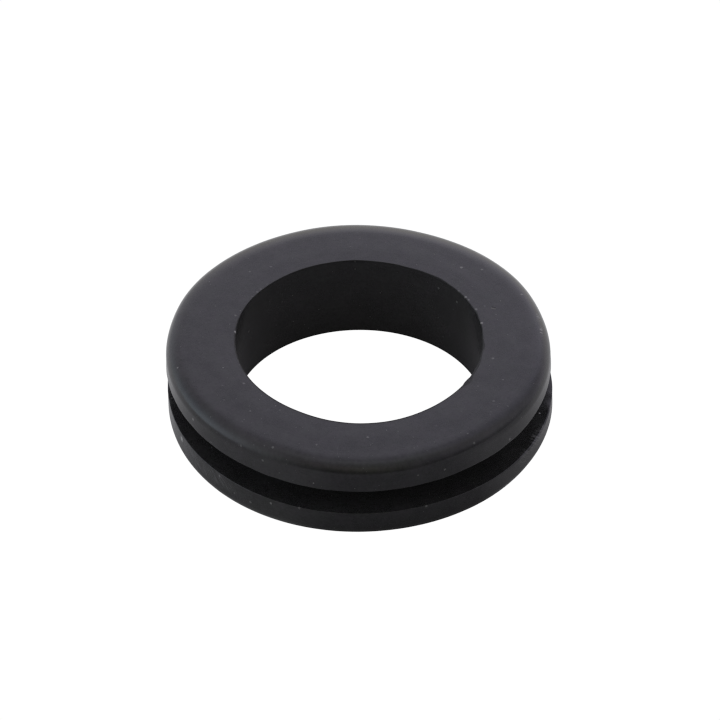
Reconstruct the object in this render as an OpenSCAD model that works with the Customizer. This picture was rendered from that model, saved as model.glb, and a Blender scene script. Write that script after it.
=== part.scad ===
// Rubber cable grommet for a round knock-out hole.
// Moulded in one piece: two equal flanges, a panel groove between them and a
// straight bore through the middle. It lies on its lower flange, with the
// origin at the centre of that flange's flat face and +Z along the bore.

/* [Bore] */
// Diameter of the straight bore that the cable passes through
bore_d = 20; // [16:0.1:22]

/* [Flanges] */
// Outer diameter of both flanges
flange_d = 30.5; // [29:0.1:34]
// Thickness of each flange
flange_t = 2.6; // [2.1:0.1:4]
// Radius of the rounded outer edge at the top face and at the bottom face
edge_r = 1.2; // [0.4:0.05:1.6]

/* [Panel groove] */
// Diameter at the floor of the groove, the same as the panel's hole
groove_d = 25; // [23.6:0.1:26.5]
// Width of the groove, which takes the panel's thickness
groove_w = 2.2; // [1:0.1:4]

/* [Finish] */
// Radius of the small arc along each bore rim
rim_r = 0.1; // [0.05:0.05:0.4]
// Radius of the small arc along each flange edge that faces the groove
lip_r = 0.15; // [0.05:0.05:0.4]
// Radius of the fillet in each corner of the groove's floor
root_r = 0.2; // [0.05:0.05:0.4]

/* [Hidden] */
$fn = 192;

bore_r = bore_d / 2;
flange_r = flange_d / 2;
groove_r = groove_d / 2;
height = 2 * flange_t + groove_w;

// The corner between a square's two sides and an arc of radius r inside it.
// It sits at the origin with the square's corner pointing to +X and +Y, and is
// cut away to round a convex corner or added to fill a concave one.
module corner(r) {
    difference() {
        translate([-r, -r]) square([r, r]);
        translate([-r, -r]) circle(r = r);
    }
}

// The lower flange's section, from its flat face at y = 0 up to the groove.
// x is the distance from the bore's axis.
module flange_section() {
    difference() {
        translate([bore_r, 0]) square([flange_r - bore_r, flange_t]);
        // Full rounding of the outer edge
        translate([flange_r, 0]) mirror([0, 1]) corner(edge_r);
        // Crisp edge beside the groove
        translate([flange_r, flange_t]) corner(lip_r);
        // Small arc along the bore rim
        translate([bore_r, 0]) rotate(180) corner(rim_r);
    }
}

// The thin wall between the flanges, with a fillet at each end of its face.
module web_section() {
    translate([bore_r, flange_t]) square([groove_r - bore_r, groove_w]);
    translate([groove_r, flange_t]) rotate(180) corner(root_r);
    translate([groove_r, flange_t + groove_w]) rotate(90) corner(root_r);
}

module grommet_section() {
    union() {
        flange_section();
        web_section();
        translate([0, height]) mirror([0, 1]) flange_section();
    }
}

module grommet_body() {
    color("#1b1b1c") rotate_extrude(angle = 360) grommet_section();
}

grommet_body();
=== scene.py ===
"""A moulded black rubber cable grommet, on a plain pale studio floor.

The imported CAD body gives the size. Its smooth solid is replaced by one closed ring mesh
with the same section, which also has what a real moulding has: a top face that falls away
a little towards its rounded edge, a bore and flanges that aren't quite round, flange lips
that are rough with flash, a worn stretch of the bore's rim, and dust.
"""

import math

import bpy
import numpy as np
from mathutils import Matrix, Vector, noise
from mathutils.bvhtree import BVHTree

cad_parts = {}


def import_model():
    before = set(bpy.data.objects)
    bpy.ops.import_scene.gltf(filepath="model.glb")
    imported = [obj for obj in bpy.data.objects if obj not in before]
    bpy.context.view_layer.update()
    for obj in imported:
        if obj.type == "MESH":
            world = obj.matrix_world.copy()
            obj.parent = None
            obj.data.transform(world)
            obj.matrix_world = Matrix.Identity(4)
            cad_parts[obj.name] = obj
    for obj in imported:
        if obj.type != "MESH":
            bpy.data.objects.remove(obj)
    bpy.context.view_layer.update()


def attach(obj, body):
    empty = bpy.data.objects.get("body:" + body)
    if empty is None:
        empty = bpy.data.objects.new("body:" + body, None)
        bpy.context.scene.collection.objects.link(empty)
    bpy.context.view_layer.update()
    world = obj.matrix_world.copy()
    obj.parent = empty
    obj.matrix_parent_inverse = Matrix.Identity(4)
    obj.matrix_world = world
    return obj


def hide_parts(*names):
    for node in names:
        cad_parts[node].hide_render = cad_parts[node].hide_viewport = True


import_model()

MM = 0.001
NODE = "grommet_body"

# ---------------------------------------------------------------- sizes, in mm
BORE_R = 10.0
FLANGE_R = 15.25
GROOVE_R = 12.5
HEIGHT = 7.4
FLANGE_T = 2.6
ROOT_R = 0.2
SEGMENTS = 512


# ---------------------------------------------------------------- the ring's section
def smooth(x, lo, hi):
    t = np.clip((x - lo) / (hi - lo), 0, 1)
    return t * t * (3 - 2 * t)


def line(a, b, n, hold=0.025):
    """n points from a towards b, without b itself, and one more close to each end, which
    keeps the shading of a small rounding from spreading over the flat beside it."""
    a, b = np.array(a, float), np.array(b, float)
    close = hold / np.hypot(*(b - a))
    t = np.concatenate([[0, close], np.linspace(0, 1, n, endpoint=False)[1:], [1 - close]])[:, None]
    return a * (1 - t) + b * t


def arc(cx, cz, r, a0, a1, n):
    """n points along an arc, without its last one. Angles are in degrees, from +r towards +z."""
    a = np.radians(np.linspace(a0, a1, n, endpoint=False))
    return np.stack([cx + r * np.cos(a), cz + r * np.sin(a)], 1)


def crowned_edge(rolled=False):
    """A flange's face from its flat ring out to the side wall, as (r, depth below the face).

    The slope grows slowly at first, so the face falls away by about a tenth of a
    millimetre, then eases into the edge's rounding of about 1.1 mm. A rolled edge starts
    earlier with a slope of about 12 degrees, and turns faster where it meets the wall.
    The points are at the same lengths along both."""
    length, slow = 4.6, 1.2
    s = np.linspace(0, length, 2400)
    crown = slow * smooth(s, 0, 0.7)
    turn, ease = np.clip((s - 2.6) / (length - 2.6), 0, 1), 0.35
    even = np.where(turn < ease, turn**2 / (2 * ease), turn - ease / 2) / (1 - ease / 2)
    usual = tilt = crown + (90 - slow) * even
    if rolled:
        turn = np.clip((s - 2.3) / (length - 2.3), 0, 1)
        tilt = crown + 12 * smooth(s, 2.3, 2.9) + (90 - slow - 12) * turn**3
    mid = np.radians((tilt[1:] + tilt[:-1]) / 2)
    step = s[1] - s[0]
    r = np.concatenate([[0], np.cumsum(np.cos(mid) * step)])
    depth = np.concatenate([[0], np.cumsum(np.sin(mid) * step)])
    r += FLANGE_R - r[-1]
    # Keep a point at every 0.26 mm or 5 degrees of turn, whichever comes first
    keep = [0]
    for i in range(1, len(s)):
        if s[i] - s[keep[-1]] >= 0.26 or usual[i] - usual[keep[-1]] >= 5.0:
            keep.append(i)
    if keep[-1] != len(s) - 1:
        keep.append(len(s) - 1)
    return np.stack([r[keep], depth[keep]], 1)


def section(rim=0.03, lip_up=0.1, lip_low=0.03, cup=0.12, rolled=False):
    """The ring's section as one closed loop of (r, z), counterclockwise seen with r to the right.

    rim is the rounding of the bore's edges, lip_up and lip_low that of the flange edges
    above and below the groove. cup is how much wider the groove is at its root than at
    each lip, and rolled gives the upper face a rolled edge. Every point moves in proportion
    to the other four."""
    t, h, g = FLANGE_T, HEIGHT, HEIGHT - FLANGE_T
    edge, top = crowned_edge(), crowned_edge(rolled)
    side, top_side = edge[-1][1], top[-1][1]
    # The bore's wall and the face beside it have more points close to the upper rim
    wall = np.concatenate([[0, 0.025, 0.07, 0.12, 0.18, 0.26, 0.38, 0.58, 0.85], np.linspace(1.15, h - 2 * rim - 0.025, 16)])
    beside = np.array([0.7, 0.5, 0.35, 0.25, 0.18, 0.13, 0.09, 0.05, 0.025])
    parts = [
        line((BORE_R + rim, 0), (edge[0][0], 0), 5),
        edge[:-1],
        line((FLANGE_R, side), (FLANGE_R, t - lip_low), 8),
        arc(FLANGE_R - lip_low, t - lip_low, lip_low, 0, 90, 5),
        line((FLANGE_R - lip_low, t), (GROOVE_R + ROOT_R, t - cup), 10),
        arc(GROOVE_R + ROOT_R, t - cup + ROOT_R, ROOT_R, 270, 180, 4),
        line((GROOVE_R, t - cup + ROOT_R), (GROOVE_R, g + cup - ROOT_R), 6),
        arc(GROOVE_R + ROOT_R, g + cup - ROOT_R, ROOT_R, 180, 90, 4),
        line((GROOVE_R + ROOT_R, g + cup), (FLANGE_R - lip_up, g), 10),
        arc(FLANGE_R - lip_up, g + lip_up, lip_up, 270, 360, 5),
        line((FLANGE_R, g + lip_up), (FLANGE_R, h - top_side), 8),
        np.stack([top[::-1][:-1, 0], h - top[::-1][:-1, 1]], 1),
        np.stack([np.append(top[0][0], BORE_R + rim + beside), np.full(len(beside) + 1, h)], 1),
        arc(BORE_R + rim, h - rim, rim, 90, 180, 4),
        np.stack([np.full_like(wall, BORE_R), h - rim - wall], 1),
        arc(BORE_R + rim, rim, rim, 180, 270, 4),
    ]
    return np.concatenate(parts)


# ---------------------------------------------------------------- what isn't true about it
# How far a soft moulding is from round, in mm: the mean, then the cosine and sine parts of one,
# two, three ... waves round the ring. One wave is a sideways shift.
UPPER_EDGE = [0.04, (-0.12, -0.005), (0.03, -0.03), (-0.01, 0.035), (0.035, 0.01), (-0.005, -0.045), (-0.04, -0.01)]
LOWER_EDGE = [0.16, (0.03, 0.04), (-0.015, 0.045), (0.035, 0.015), (-0.01, -0.01), (0.0, 0.01)]
UPPER_BORE = [-0.075, (-0.085, 0.005), (-0.025, -0.025), (-0.045, 0.075), (0.02, 0.015), (-0.015, -0.01), (-0.01, -0.015)]
LOWER_BORE = [0.01, (0.0, -0.005), (0.01, 0.005), (-0.005, 0.01)]
# Local faults as (degrees, half width in degrees, mm): bulges into the bore below its upper rim,
# chips out of that rim, stretches where it is worn round, and hollows of the lower flange's edge
BULGES = [(179, 19, 0.16)]
CHIPS = [
    (50, 4, 0.05), (20, 3, 0.05), (10, 5, 0.06), (-6, 4, 0.03), (-20, 4, -0.05), (27, 4, -0.02), (67, 4, -0.03),
    (92, 6, 0.05), (-97, 20, 0.035),
]
# A painted shade line along the bore's upper rim, darker and a little duller, widest at the front: how wide it is, in
# mm
PAINTED_RIM_SHADE = [(-95, 60, 0.16), (-30, 5, 0.3), (60, 90, 0.02)]
WORN = [(182, 15, 0.06), (50, 4, 0.03), (20, 3, 0.03), (-4, 4, 0.1), (-18, 6, 0.15)]
HOLLOWS = [(-30, 12, 0.035)]
# How far the upper flange's edge stands out, besides its waves
STANDS_OUT = [(55, 24, 0.06), (92, 26, 0.12), (132, 28, 0.06), (18, 9, -0.04), (168, 9, -0.04)]
# Where the lip above the groove is rounder
ROUNDED = [(-10, 27, 0.19), (-50, 20, 0.04), (-145, 18, 0.03), (-166, 17, 0.24)]
# How far the lips above and below the groove stand from their true height
UPPER_LIP = [0.075, (0.055, -0.02), (0.1, 0.035), (0.03, 0.0), (0.025, 0.0), (0.035, -0.02)]
LOWER_LIP = [-0.06, (-0.2, -0.01), (-0.015, 0.01), (-0.03, 0.01), (0.0, 0.04), (-0.005, 0.01)]


def waves(a, parts):
    total = np.full_like(a, parts[0])
    for k, (c, s) in enumerate(parts[1:], 1):
        total += c * np.cos(k * a) + s * np.sin(k * a)
    return total


def faults(a, parts):
    return sum(amount * near(a, degrees, width) for degrees, width, amount in parts)


def near(a, degrees, width):
    """1 at an angle round the ring, falling to nothing over about twice the width."""
    d = (a - math.radians(degrees) + math.pi) % (2 * math.pi) - math.pi
    return np.exp(-((d / math.radians(width)) ** 2))


def out_of_round(r, z, a):
    """The radial shift of a point in mm, blended between the four edges of the section."""
    up = smooth(z, 0, HEIGHT)
    out = np.clip((r - BORE_R) / (FLANGE_R - BORE_R), 0, 1)
    bore = waves(a, LOWER_BORE) * (1 - up) + waves(a, UPPER_BORE) * up
    edge = waves(a, LOWER_EDGE) * (1 - up) + waves(a, UPPER_EDGE) * up
    return bore * (1 - out) + edge * out


def lips_off_level(r, z, a):
    """The upward shift of a point in mm: the flanges' inner faces aren't parallel."""
    low, high = FLANGE_T, HEIGHT - FLANGE_T
    weight_low = np.where(z <= low, smooth(z, 1.2, low), np.clip((high - z) / (high - low), 0, 1))
    weight_high = np.where(z >= high, 1 - smooth(z, high, 6.3), np.clip((z - low) / (high - low), 0, 1))
    return smooth(r, 10.8, 12.4) * (weight_low * waves(a, LOWER_LIP) + weight_high * waves(a, UPPER_LIP))


def field(p, size, seed):
    """Smooth noise of about -1 to 1 at points in mm, with lumps of about that size."""
    k = 1.0 / size
    off = Vector((13.1 * seed, 7.7 * seed, 3.3 * seed))
    flat = p.reshape(-1, 3)
    out = np.fromiter((noise.noise(Vector(v) * k + off) for v in flat.tolist()), float, len(flat))
    return 1.6 * out.reshape(p.shape[:-1])


def ragged(n, seed, sizes, radius):
    """Noise round the ring alone, from waves of the given sizes in mm."""
    a = np.linspace(0, 2 * math.pi, n, endpoint=False)
    circle = np.stack([np.cos(a) * radius, np.sin(a) * radius, np.zeros(n)], 1)
    return sum(share * field(circle, size, seed + i) for i, (size, share) in enumerate(sizes))


def build_ring():
    n = SEGMENTS
    th = np.linspace(0, 2 * math.pi, n, endpoint=False)
    base = section()
    m = len(base)

    # Roundings that differ round the ring
    rim_more = 0.01 * (1 + ragged(n, 3, [(2.0, 1.0)], 10)) + faults(th, WORN) - 0.022 * near(th, -95, 40)
    up_more = 0.03 * ragged(n, 11, [(1.5, 1.0)], 15) + faults(th, ROUNDED)
    low_more = 0.012 * (1 + ragged(n, 17, [(1.2, 1.0)], 15)) + 0.1 * near(th, -25, 14)
    rolled = 0.72 * (near(th, 68, 35) + near(th, 120, 35))
    d_rim = (section(rim=0.13) - base) / 0.1
    d_rolled = section(rolled=True) - base
    d_up = (section(lip_up=0.2) - base) / 0.1
    d_low = (section(lip_low=0.13) - base) / 0.1
    top_half = (base[:, 1] > HEIGHT / 2)[None, :, None]
    sec = base[None] + np.where(top_half, rim_more[:, None, None], 0.02) * d_rim
    sec = sec + up_more[:, None, None] * d_up + low_more[:, None, None] * d_low + rolled[:, None, None] * d_rolled
    r, z = sec[..., 0], sec[..., 1]
    a = np.repeat(th[:, None], m, 1)

    # Flash on the two lips: small steps out and back, rougher at the left and the right end
    rough = 0.5 + 0.8 * near(th, -142, 22) + 1.0 * near(th, -22, 12) + 0.5 * near(th, 150, 40)
    low_lip = np.exp(-(((base[:, 0] - FLANGE_R) ** 2 + (base[:, 1] - FLANGE_T) ** 2) / 0.22**2))
    up_lip = np.exp(-(((base[:, 0] - FLANGE_R) ** 2 + (base[:, 1] - HEIGHT + FLANGE_T) ** 2) / 0.2**2))
    low_step = 0.035 * rough * ragged(n, 23, [(1.3, 0.7), (0.55, 0.6)], 15)
    up_step = 0.018 * ragged(n, 31, [(1.6, 0.7), (0.6, 0.5)], 15)
    low_out = 0.5 * low_step + 0.05 * near(th, 4, 7) + 0.09 * near(th, 12, 3) + 0.09 * near(th, 170, 5)
    up_out = 0.5 * up_step + 0.02 * near(th, 182, 12)
    dr = low_lip[None] * low_out[:, None] + up_lip[None] * up_out[:, None]
    # On the left the upper flange's wall leans out towards its lip
    flare = smooth(base[:, 0], 12.5, FLANGE_R) * np.where(base[:, 1] > HEIGHT - FLANGE_T - 0.1, 1 - smooth(base[:, 1], 4.9, 6.3), 0)
    dr = dr + flare[None] * (0.02 * near(th, 184, 22))[:, None]
    low_part = smooth(base[:, 0], 12.5, FLANGE_R) * (base[:, 1] < 3.0)
    dr = dr - low_part[None] * faults(th, HOLLOWS)[:, None]
    up_part = smooth(base[:, 0], 12.5, FLANGE_R) * (base[:, 1] > 4.5)
    dr = dr + up_part[None] * faults(th, STANDS_OUT)[:, None]
    dz = low_lip[None] * low_step[:, None] - up_lip[None] * up_step[:, None]

    # The bore's upper rim is chipped on the right, bulges inwards on the left, and has a
    # scrap of flash just below it at the right end
    bore_lip = np.exp(-(((base[:, 0] - BORE_R) ** 2 + (base[:, 1] - HEIGHT) ** 2) / 0.2**2))
    chip = faults(th, CHIPS) + 0.012 * near(th, 18, 30) * ragged(n, 41, [(1.1, 0.8), (0.5, 0.5)], 10)
    dr = dr + bore_lip[None] * chip[:, None]
    bulge = (1 - smooth(base[:, 0], 10.0, 11.2)) * smooth(base[:, 1], 5.4, 7.2)
    dr = dr - bulge[None] * faults(th, BULGES)[:, None]
    flash = np.where(base[:, 0] < BORE_R + 0.001, np.exp(-(((base[:, 1] - 7.2) / 0.1) ** 2)), 0)
    dr = dr - flash[None] * (0.17 * near(th, -30, 4.5))[:, None]

    shift_r = out_of_round(r, z, a)
    shift_z = lips_off_level(r, z, a)
    r, z = r + shift_r + dr, z + shift_z + dz

    # Shallow unevenness of the moulded skin, along the surface's own normal
    t = np.roll(sec, -1, 1) - np.roll(sec, 1, 1)
    nr, nz = t[..., 1], -t[..., 0]
    size = np.hypot(nr, nz)
    nr, nz = nr / size, nz / size
    p = np.stack([r * np.cos(a), r * np.sin(a), z], 2)
    bump = 0.006 * field(p, 4.2, 1) + 0.0022 * field(p, 1.5, 2)
    resting = smooth(z, 0.0, 0.5)
    bump = bump * resting
    r, z = r + nr * bump, z + nz * bump
    z = np.maximum(z, 0.0)

    co = np.stack([r * np.cos(a), r * np.sin(a), z], 2).reshape(-1, 3) * MM
    i = np.arange(n)[:, None]
    j = np.arange(m)[None, :]
    i2, j2 = (i + 1) % n, (j + 1) % m
    faces = np.stack([i * m + j, i2 * m + j, i2 * m + j2, i * m + j2], 2).reshape(-1, 4)
    mesh = bpy.data.meshes.new("grommet_rubber")
    mesh.from_pydata(co.tolist(), [], faces.tolist())
    mesh.validate()
    mesh.polygons.foreach_set("use_smooth", np.ones(len(mesh.polygons), bool))
    # 1 on the painted shade line along the bore's upper rim
    away = np.where(base[:, 1] > 6.5, np.clip(base[:, 0] - BORE_R - 0.04, 0, 9) + np.clip(HEIGHT - 0.04 - base[:, 1], 0, 9), 9)
    wide = faults(th, PAINTED_RIM_SHADE) * (1 + 0.3 * ragged(n, 47, [(0.8, 1.0)], 10))
    painted_rim_shade = 1 - smooth(away[None], 0.5 * wide[:, None], 1.1 * wide[:, None] + 0.01)
    mesh.attributes.new("painted_rim_shade", "FLOAT", "POINT").data.foreach_set("value", painted_rim_shade.reshape(-1).astype(np.float32))
    mesh.update()
    ob = bpy.data.objects.new("grommet_rubber", mesh)
    bpy.context.scene.collection.objects.link(ob)
    return ob


ring = build_ring()
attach(ring, "root")
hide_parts(NODE)


# ---------------------------------------------------------------- node helpers
def put(nt, value, socket):
    """Connect a node's output, or set a plain number or vector."""
    if isinstance(value, bpy.types.NodeSocket):
        nt.links.new(value, socket)
    else:
        socket.default_value = value


def calc(nt, op, *values):
    n = nt.nodes.new("ShaderNodeMath")
    n.operation = op
    for i, v in enumerate(values):
        put(nt, v, n.inputs[i])
    return n.outputs[0]


def vector(nt, op, *values, scale=None):
    n = nt.nodes.new("ShaderNodeVectorMath")
    n.operation = op
    for i, v in enumerate(values):
        put(nt, v, n.inputs[i])
    if scale is not None:
        put(nt, scale, n.inputs["Scale"])
    return n.outputs["Value"] if op in ("DOT_PRODUCT", "DISTANCE", "LENGTH") else n.outputs["Vector"]


def step(nt, value, lo, hi, to_lo=0.0, to_hi=1.0):
    """A smooth step: to_lo where the value is lo, and to_hi where it is hi."""
    n = nt.nodes.new("ShaderNodeMapRange")
    n.interpolation_type = "SMOOTHSTEP"
    put(nt, value, n.inputs["Value"])
    for name, v in (("From Min", lo), ("From Max", hi), ("To Min", to_lo), ("To Max", to_hi)):
        n.inputs[name].default_value = v
    return n.outputs["Result"]


def blend(nt, factor, a, b):
    """A colour between a and b."""
    n = nt.nodes.new("ShaderNodeMix")
    n.data_type = "RGBA"
    put(nt, factor, n.inputs["Factor"])
    for v, socket in ((a, n.inputs[6]), (b, n.inputs[7])):
        put(nt, v if isinstance(v, bpy.types.NodeSocket) else (*v, 1), socket)
    return n.outputs[2]


def lumps(nt, where, size, detail=2.0, rough=0.5, seed=0.0):
    """Noise round 0.5 with lumps of about that size in mm."""
    n = nt.nodes.new("ShaderNodeTexNoise")
    n.noise_dimensions = "4D"
    put(nt, where, n.inputs["Vector"])
    n.inputs["W"].default_value = seed
    n.inputs["Scale"].default_value = 1.0 / size
    n.inputs["Detail"].default_value = detail
    n.inputs["Roughness"].default_value = rough
    return n.outputs["Fac"]


# ---------------------------------------------------------------- the rubber
# Specks of dust, as (degrees round the ring, radius, height, size, paleness), in mm
DUST = [
    (48, 12.2, 7.4, 0.08, 0.5), (42, 13.2, 7.4, 0.07, 0.3), (32.3, 10.03, 7.4, 0.08, 0.5), (12.3, 9.95, 7.4, 0.08, 0.6),
    (-12, 10.8, 7.4, 0.07, 0.3), (-23, 12.3, 7.4, 0.06, 0.2), (24, 14.2, 7.4, 0.07, 0.4), (128, 11.6, 7.4, 0.07, 0.2),
    (136, 12.3, 7.4, 0.06, 0.2), (163, 10.4, 7.4, 0.07, 0.3), (-150, 10.6, 7.4, 0.07, 0.3), (-153, 12.2, 7.4, 0.06, 0.1),
    (160, 12.3, 7.4, 0.06, 0.1), (-105, 13.1, 7.4, 0.06, 0.2), (-135, 12.2, 7.4, 0.06, 0.2), (-87, 11.8, 7.4, 0.07, 0.3),
    (-60, 12.0, 7.4, 0.06, 0.1), (-53, 14.1, 7.4, 0.06, 0.2), (-35, 12.9, 7.4, 0.07, 0.2), (-40, 13.5, 7.4, 0.06, 0.1),
    (-31, 10.9, 7.4, 0.06, 0.1), (174, 9.9, 7.38, 0.09, 1.0), (-118, 14.5, 7.2, 0.07, 0.3), (-53, 14.9, 6.9, 0.07, 0.3),
    (-148.8, 15.3, 5.95, 0.08, 0.8), (-128, 15.3, 6.7, 0.07, 0.2), (-120, 15.3, 6.2, 0.07, 0.3), (-64, 15.3, 5.7, 0.07, 0.4),
    (-39, 15.2, 5.3, 0.07, 0.6), (-11.5, 14.6, 2.6, 0.06, 0.9), (-157, 15.4, 2.2, 0.15, 1.3), (-117, 15.4, 2.2, 0.07, 0.5),
    (12.6, 14.6, 7.25, 0.05, 0.35), (7.5, 14.55, 7.25, 0.05, 0.2), (5.8, 14.52, 7.25, 0.05, 0.3), (4.4, 14.48, 7.25, 0.06, 0.4),
    (-173.5, 15.1, 2.6, 0.06, 0.25), (-171.5, 15.15, 2.5, 0.07, 0.3),
    (144, 10.15, 7.4, 0.07, 0.22), (141.5, 10.15, 7.4, 0.07, 0.15), (137, 10.2, 7.4, 0.06, 0.1), (148, 10.2, 7.4, 0.06, 0.12),
    (-124, 15.4, 1.5, 0.07, 0.3), (-108, 15.4, 2.5, 0.07, 0.3), (-136, 15.4, 2.4, 0.07, 0.4), (-70, 15.4, 2.5, 0.07, 0.4),
    (29.9, 10.05, 7.4, 0.07, 0.3), (22.4, 10.05, 7.4, 0.08, 0.35), (37.7, 10.0, 7.4, 0.07, 0.2),
    (152.4, 10.0, 4.4, 0.08, 0.3), (50.4, 10.0, 6.4, 0.08, 0.25), (38.4, 10.0, 6.2, 0.08, 0.35),
]
# Scuffs, as (degrees round the ring, radius, height, half length round it, half width, paleness)
SCUFFS = [
    (12, 14.6, 7.2, 0.6, 0.16, 0.7), (6, 14.55, 7.2, 0.55, 0.16, 0.7), (-22, 15.3, 2.1, 1.3, 0.6, 0.4),
    (-30, 15.3, 1.9, 1.4, 0.6, 0.25), (-157, 15.4, 2.2, 0.4, 0.3, 0.7), (-152, 15.4, 1.9, 2.6, 0.9, 0.2),
    (-138, 15.4, 1.9, 2.4, 0.8, 0.2), (172, 15.2, 2.3, 1.0, 0.5, 0.15), (62, 15.3, 1.7, 1.6, 0.6, 0.14),
    (118, 15.2, 5.8, 1.2, 0.5, 0.12), (-6, 12.6, 7.4, 0.9, 0.15, 0.03),
]
# Small pits, as (degrees round the ring, radius, height, radius of the pit, depth)
PITS = [(20.9, 11.35, 7.4, 0.13, 0.04), (20.2, 11.5, 7.4, 0.12, 0.04), (61, 12.4, 7.4, 0.1, 0.015), (-146, 12.9, 7.4, 0.12, 0.015)]


def on_surface(skin, degrees, r, height):
    """The nearest point of the ring's surface, in mm."""
    a = math.radians(degrees)
    return skin.find_nearest(Vector((r * math.cos(a), r * math.sin(a), height)) * MM)[0] / MM


def rubber():
    """Black rubber as it leaves the mould: an even dull sheen with faint clouding and turning
    marks, a very fine grain, specks of pale dust and a few scuffs."""
    mat = bpy.data.materials.new("moulded_rubber")
    mat.use_nodes = True
    nt = mat.node_tree
    bsdf = nt.nodes["Principled BSDF"]
    bsdf.inputs["IOR"].default_value = 1.5

    skin = BVHTree.FromPolygons([v.co for v in ring.data.vertices], [f.vertices for f in ring.data.polygons])
    coord = nt.nodes.new("ShaderNodeTexCoord")
    mm = vector(nt, "SCALE", coord.outputs["Object"], scale=1000.0)
    xyz = nt.nodes.new("ShaderNodeSeparateXYZ")
    nt.links.new(mm, xyz.inputs[0])
    x, y, z = xyz.outputs
    radius = calc(nt, "SQRT", calc(nt, "ADD", calc(nt, "MULTIPLY", x, x), calc(nt, "MULTIPLY", y, y)))
    angle = calc(nt, "ARCTAN2", y, x)

    cloud = lumps(nt, mm, 1.8, 4.0, 0.7)
    grain = lumps(nt, mm, 0.3, 3.0, 0.65, 1.0)
    fine = lumps(nt, mm, 0.07, 1.0, 0.5, 2.0)
    # The mould was turned, so its faint marks run round the part
    turned = nt.nodes.new("ShaderNodeCombineXYZ")
    put(nt, radius, turned.inputs[0])
    put(nt, z, turned.inputs[1])
    put(nt, calc(nt, "MULTIPLY", x, 0.03), turned.inputs[2])
    marks = lumps(nt, turned.outputs[0], 0.35, 3.0, 0.6, 3.0)

    # Dust that is scattered: one point in some of the cells, each its own size
    wobble = vector(nt, "MULTIPLY_ADD", noise_vector(nt, mm, 9.0), (0.1, 0.1, 0.1), mm)
    dust = None
    for cells, share, size, pale in ((1.1, 0.12, 0.13, 0.35), (2.4, 0.08, 0.19, 0.22), (4.0, 0.08, 0.25, 0.12)):
        v = nt.nodes.new("ShaderNodeTexVoronoi")
        put(nt, wobble, v.inputs["Vector"])
        v.inputs["Scale"].default_value = cells
        pick = nt.nodes.new("ShaderNodeSeparateXYZ")
        nt.links.new(v.outputs["Color"], pick.inputs[0])
        kept = calc(nt, "LESS_THAN", pick.outputs[0], share)
        reach = calc(nt, "MULTIPLY_ADD", pick.outputs[1], size * 0.6, size * 0.5)
        spot = step(nt, calc(nt, "DIVIDE", v.outputs["Distance"], reach), 1.0, 0.4)
        spot = calc(nt, "MULTIPLY", calc(nt, "MULTIPLY", spot, kept), calc(nt, "MULTIPLY_ADD", pick.outputs[2], pale, 0.05))
        dust = spot if dust is None else calc(nt, "MAXIMUM", dust, spot)
    for degrees, r, height, size, pale in DUST:
        d = vector(nt, "DISTANCE", wobble, on_surface(skin, degrees, r, height))
        dust = calc(nt, "MAXIMUM", dust, step(nt, d, size * 2.1, size * 0.5, 0.0, pale * 0.75))

    # Scuffs: broken, slanting strokes inside soft patches
    slant = nt.nodes.new("ShaderNodeCombineXYZ")
    put(nt, calc(nt, "MULTIPLY_ADD", z, 2.2, calc(nt, "MULTIPLY", angle, 33.0)), slant.inputs[0])
    put(nt, calc(nt, "MULTIPLY_ADD", angle, 3.0, z), slant.inputs[1])
    put(nt, radius, slant.inputs[2])
    strokes = step(nt, lumps(nt, slant.outputs[0], 0.45, 2.0, 0.65, 5.0), 0.38, 0.68)
    scuff = None
    for degrees, r, height, long, wide, pale in SCUFFS:
        a = math.radians(degrees)
        off = vector(nt, "SUBTRACT", mm, on_surface(skin, degrees, r, height))
        along = calc(nt, "DIVIDE", vector(nt, "DOT_PRODUCT", off, (-math.sin(a), math.cos(a), 0)), long)
        out = calc(nt, "DIVIDE", vector(nt, "DOT_PRODUCT", off, (math.cos(a), math.sin(a), 0)), wide)
        up = calc(nt, "DIVIDE", vector(nt, "DOT_PRODUCT", off, (0, 0, 1)), wide)
        square = calc(nt, "MULTIPLY_ADD", up, up, calc(nt, "MULTIPLY_ADD", out, out, calc(nt, "MULTIPLY", along, along)))
        patch = step(nt, square, 1.4, 0.0, 0.0, pale)
        scuff = patch if scuff is None else calc(nt, "MAXIMUM", scuff, patch)
    scuff = calc(nt, "MULTIPLY", scuff, strokes)

    # Colour: a faint bloom, here a little warmer and there a little cooler
    tone = calc(nt, "MULTIPLY_ADD", grain, 1.0, calc(nt, "MULTIPLY_ADD", cloud, 1.3, calc(nt, "MULTIPLY", marks, 0.4)))
    tint = step(nt, lumps(nt, mm, 1.1, 3.0, 0.75, 7.0), 0.35, 0.65)
    dark = blend(nt, tint, (0.0134, 0.0129, 0.0141), (0.0127, 0.0134, 0.0131))
    pale = blend(nt, tint, (0.0318, 0.0298, 0.0328), (0.0298, 0.0314, 0.0303))
    colour = blend(nt, step(nt, tone, 0.95, 1.75), dark, pale)
    edge = nt.nodes.new("ShaderNodeAttribute")
    edge.attribute_name = "painted_rim_shade"
    # Painted shade: a darker line along the bore's upper rim, widest at the front, which is also made duller below
    rim_shade_and_matt = calc(nt, "MULTIPLY", edge.outputs["Fac"], step(nt, grain, 0.3, 0.5, 0.6, 1.0))
    colour = blend(nt, rim_shade_and_matt, colour, (0.010, 0.010, 0.010))
    colour = blend(nt, scuff, colour, (0.30, 0.30, 0.30))
    colour = blend(nt, dust, colour, (0.45, 0.45, 0.43))
    nt.links.new(colour, bsdf.inputs["Base Color"])

    # Sheen: duller where it is scuffed or dusty, and on the painted shade line along the bore's rim
    sheen = calc(nt, "MULTIPLY_ADD", cloud, 0.12, calc(nt, "MULTIPLY_ADD", marks, 0.06, 0.15))
    sheen = calc(nt, "ADD", sheen, calc(nt, "MULTIPLY", calc(nt, "MAXIMUM", calc(nt, "MAXIMUM", scuff, dust), rim_shade_and_matt), 0.4))
    nt.links.new(sheen, bsdf.inputs["Roughness"])

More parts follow.
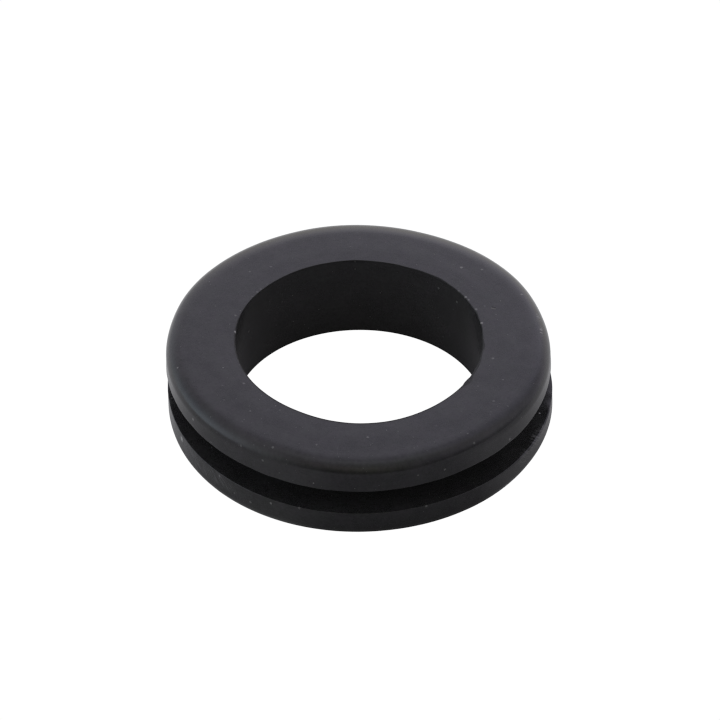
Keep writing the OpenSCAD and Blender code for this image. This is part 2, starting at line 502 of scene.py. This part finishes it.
    # Relief in mm
    relief = calc(nt, "MULTIPLY_ADD", fine, 0.0004, calc(nt, "MULTIPLY", grain, 0.0009))
    relief = calc(nt, "MULTIPLY_ADD", marks, 0.0015, relief)
    relief = calc(nt, "MULTIPLY_ADD", cloud, 0.0105, relief)
    relief = calc(nt, "MULTIPLY_ADD", dust, 0.02, relief)
    for degrees, r, height, size, depth in PITS:
        d = vector(nt, "DISTANCE", mm, on_surface(skin, degrees, r, height))
        relief = calc(nt, "ADD", relief, step(nt, d, size, 0.0, 0.0, -depth))
    bump = nt.nodes.new("ShaderNodeBump")
    bump.inputs["Strength"].default_value = 1.0
    bump.inputs["Distance"].default_value = MM
    nt.links.new(relief, bump.inputs["Height"])
    nt.links.new(bump.outputs["Normal"], bsdf.inputs["Normal"])
    return mat


def noise_vector(nt, where, scale):
    """Noise in each direction, round zero."""
    n = nt.nodes.new("ShaderNodeTexNoise")
    put(nt, where, n.inputs["Vector"])
    n.inputs["Scale"].default_value = scale
    n.inputs["Detail"].default_value = 1.0
    return vector(nt, "SUBTRACT", n.outputs["Color"], (0.5, 0.5, 0.5))


ring.data.materials.append(rubber())


# ---------------------------------------------------------------- floor, light and camera
def studio_floor():
    """A pale floor. It is plain white to the camera; what it sends to the part grows towards
    the back and a little to both sides, where the light comes from, and stops inside the
    ring, which shades it."""
    mesh = bpy.data.meshes.new("studio_floor")
    n = 96
    pts = [(0, 0, 0)] + [(3 * math.cos(2 * math.pi * i / n), 3 * math.sin(2 * math.pi * i / n), 0) for i in range(n)]
    mesh.from_pydata(pts, [], [(0, i + 1, (i + 1) % n + 1) for i in range(n)])
    ob = bpy.data.objects.new("studio_floor", mesh)
    bpy.context.scene.collection.objects.link(ob)
    mat = bpy.data.materials.new("studio_floor")
    mat.use_nodes = True
    nt = mat.node_tree
    nt.nodes.clear()
    out = nt.nodes.new("ShaderNodeOutputMaterial")
    seen = nt.nodes.new("ShaderNodeEmission")
    seen.inputs["Color"].default_value = (1, 1, 1, 1)
    seen.inputs["Strength"].default_value = 1.02
    lit = nt.nodes.new("ShaderNodeBsdfDiffuse")
    lit.inputs["Color"].default_value = (0.45, 0.45, 0.45, 1)
    coord = nt.nodes.new("ShaderNodeTexCoord")
    way = vector(nt, "NORMALIZE", coord.outputs["Object"])
    back = step(nt, vector(nt, "DOT_PRODUCT", way, (-0.05, 1, 0)), -0.5, 1.4, 0.0, 0.8)
    beside = calc(nt, "ABSOLUTE", vector(nt, "DOT_PRODUCT", way, (1, 0.25, 0)))
    back = calc(nt, "ADD", back, step(nt, beside, 0.42, 0.66, 0.0, 0.13))
    clear = step(nt, vector(nt, "LENGTH", coord.outputs["Object"]), 0.0106, 0.015)
    glow = nt.nodes.new("ShaderNodeEmission")
    glow.inputs["Color"].default_value = (1, 1, 1, 1)
    nt.links.new(calc(nt, "MULTIPLY", back, clear), glow.inputs["Strength"])
    both = nt.nodes.new("ShaderNodeAddShader")
    nt.links.new(lit.outputs[0], both.inputs[0])
    nt.links.new(glow.outputs[0], both.inputs[1])
    path = nt.nodes.new("ShaderNodeLightPath")
    mix = nt.nodes.new("ShaderNodeMixShader")
    nt.links.new(path.outputs["Is Camera Ray"], mix.inputs[0])
    nt.links.new(both.outputs[0], mix.inputs[1])
    nt.links.new(seen.outputs[0], mix.inputs[2])
    nt.links.new(mix.outputs[0], out.inputs[0])
    mesh.materials.append(mat)
    return ob


studio_floor()


def camera():
    """A long lens, looking down at the ring by 40.4 degrees from the front."""
    cam = bpy.data.cameras.new("camera")
    cam.lens = 400.0
    cam.sensor_width = 36.0
    cam.clip_start, cam.clip_end = 0.01, 20
    ob = bpy.data.objects.new("camera", cam)
    bpy.context.scene.collection.objects.link(ob)
    pitch, roll = math.radians(40.3958), math.radians(0.037)
    forward = Vector((0, math.cos(pitch), -math.sin(pitch)))
    right = Vector((1, 0, 0))
    up = right.cross(forward)
    r = math.cos(roll) * right + math.sin(roll) * up
    u = -math.sin(roll) * right + math.cos(roll) * up
    unit = FLANGE_R * MM
    place = -forward * 42.0666 * unit + 0.0012 * unit * r + 0.2663 * unit * u
    m = Matrix((r, u, -forward)).transposed().to_4x4()
    m.translation = place
    ob.matrix_world = m
    bpy.context.scene.camera = ob


camera()

# Soft lights all round, as (height above the horizon, bearing from +X towards +Y, colour)
LIGHTS = [
    (4, 30, (0.52, 0.49, 0.60)), (4, 60, (0.71, 0.69, 0.64)), (4, 90, (0.52, 0.51, 0.36)), (4, 120, (0.39, 0.37, 0.45)),
    (4, 150, (0.57, 0.60, 0.60)), (4, 180, (0.83, 0.97, 1.09)), (4, 210, (0.34, 0.32, 0.36)), (27, 15, (0.28, 0.28, 0.30)),
    (27, 45, (0.00, 0.00, 0.02)), (27, 75, (0.91, 0.88, 1.10)), (27, 105, (0.43, 0.41, 0.48)), (27, 135, (0.29, 0.32, 0.33)),
    (27, 165, (0.25, 0.29, 0.40)), (27, 195, (0.62, 0.65, 0.70)), (27, 225, (0.07, 0.08, 0.05)), (27, 285, (0.09, 0.10, 0.05)),
    (27, 315, (0.10, 0.09, 0.12)), (27, 345, (0.38, 0.37, 0.41)), (50, 0, (0.29, 0.26, 0.27)), (50, 45, (0.27, 0.27, 0.35)),
    (50, 135, (0.12, 0.09, 0.13)), (50, 180, (0.32, 0.31, 0.32)), (50, 225, (0.15, 0.11, 0.15)), (50, 270, (0.31, 0.28, 0.23)),
    (50, 315, (0.05, 0.05, 0.08)), (72, 45, (0.29, 0.28, 0.31)), (72, 135, (0.46, 0.45, 0.49)), (72, 225, (0.06, 0.06, 0.07)),
    (72, 315, (0.11, 0.14, 0.11)),
]
SOFTNESS = 14.0


def world():
    w = bpy.data.worlds.new("studio")
    bpy.context.scene.world = w
    w.use_nodes = True
    nt = w.node_tree
    coord = nt.nodes.new("ShaderNodeTexCoord")
    total = (0, 0, 0)
    for height, bearing, colour in LIGHTS:
        e, a = math.radians(height), math.radians(bearing)
        way = (math.cos(e) * math.cos(a), math.cos(e) * math.sin(a), math.sin(e))
        near_it = vector(nt, "DOT_PRODUCT", coord.outputs["Generated"], way)
        lobe = calc(nt, "EXPONENT", calc(nt, "MULTIPLY_ADD", near_it, SOFTNESS, -SOFTNESS))
        total = vector(nt, "ADD", vector(nt, "SCALE", colour, scale=lobe), total)
    lit = nt.nodes["Background"]
    nt.links.new(total, lit.inputs["Color"])
    seen = nt.nodes.new("ShaderNodeBackground")
    seen.inputs["Color"].default_value = (1, 1, 1, 1)
    seen.inputs["Strength"].default_value = 1.02
    path = nt.nodes.new("ShaderNodeLightPath")
    mix = nt.nodes.new("ShaderNodeMixShader")
    nt.links.new(path.outputs["Is Camera Ray"], mix.inputs[0])
    nt.links.new(lit.outputs[0], mix.inputs[1])
    nt.links.new(seen.outputs[0], mix.inputs[2])
    nt.links.new(mix.outputs[0], nt.nodes["World Output"].inputs["Surface"])


world()
sc = bpy.context.scene
sc.view_settings.view_transform = "Standard"
sc.view_settings.look = "None"
sc.cycles.use_denoising = True
sc.cycles.filter_width = 1.3
# The white all round fogs the camera's blacks a little
sc.view_settings.use_curve_mapping = True
sc.view_settings.curve_mapping.black_level = (-0.0016, -0.0016, -0.0016)
sc.view_settings.curve_mapping.update()
